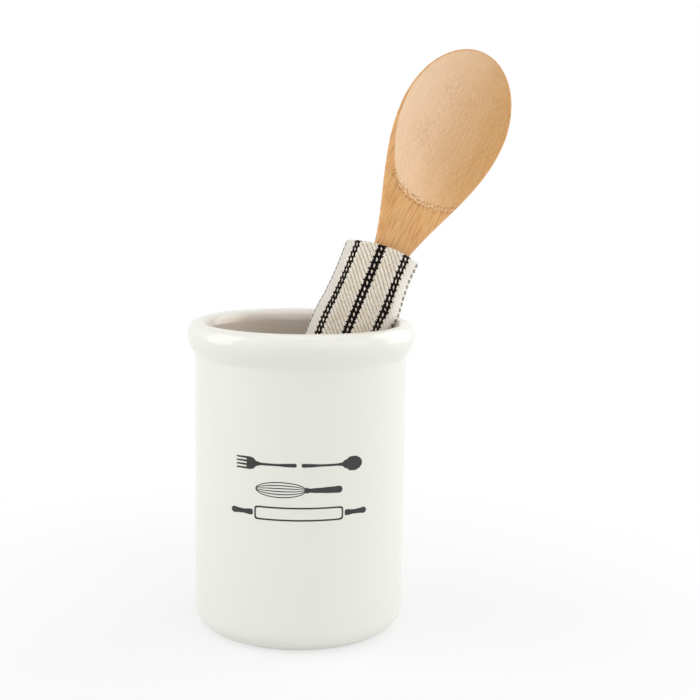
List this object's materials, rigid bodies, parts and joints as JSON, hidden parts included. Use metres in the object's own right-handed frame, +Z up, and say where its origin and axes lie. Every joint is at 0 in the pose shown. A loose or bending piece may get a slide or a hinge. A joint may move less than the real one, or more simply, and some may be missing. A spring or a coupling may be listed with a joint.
{
  "type": "utensil crock",
  "caption": "Straight-sided glazed stoneware crock with a rolled rim, holding a wooden spoon in a loose striped cloth sleeve that leans on the rim.",
  "frame": {"origin": "the crock's axis at the surface that it stands on", "axes": "+Z up along the crock's axis; the utensil leans towards +X and a little towards +Y; the spoon's hollow faces -Y"},
  "size_m": [0.1815, 0.127, 0.3261],
  "materials": {
    "white_glaze": "glossy off-white glaze over stoneware, bare clay on the flat bottom",
    "striped_twill": "cream cotton twill with pairs of black woven lines",
    "cream_thread": "cotton sewing thread",
    "spoon_wood": "fine straight grain, sanded and unvarnished"
  },
  "bodies": {
    "crock": {"crock_body": "white_glaze"},
    "sleeve": {"cloth_sleeve": "striped_twill", "seam_stitches": "cream_thread"},
    "spoon": {"wooden_spoon": "spoon_wood"}
  },
  "joints": [
    {"name": "sleeve_lift", "type": "slide", "parent": "crock", "child": "sleeve", "axis": [0.3719, 0.1372, 0.9181], "range_m": [0, 0.19]},
    {"name": "spoon_pull", "type": "slide", "parent": "sleeve", "child": "spoon", "axis": [0.4285, 0.1059, 0.8973], "range_m": [0, 0.24]}
  ]
}
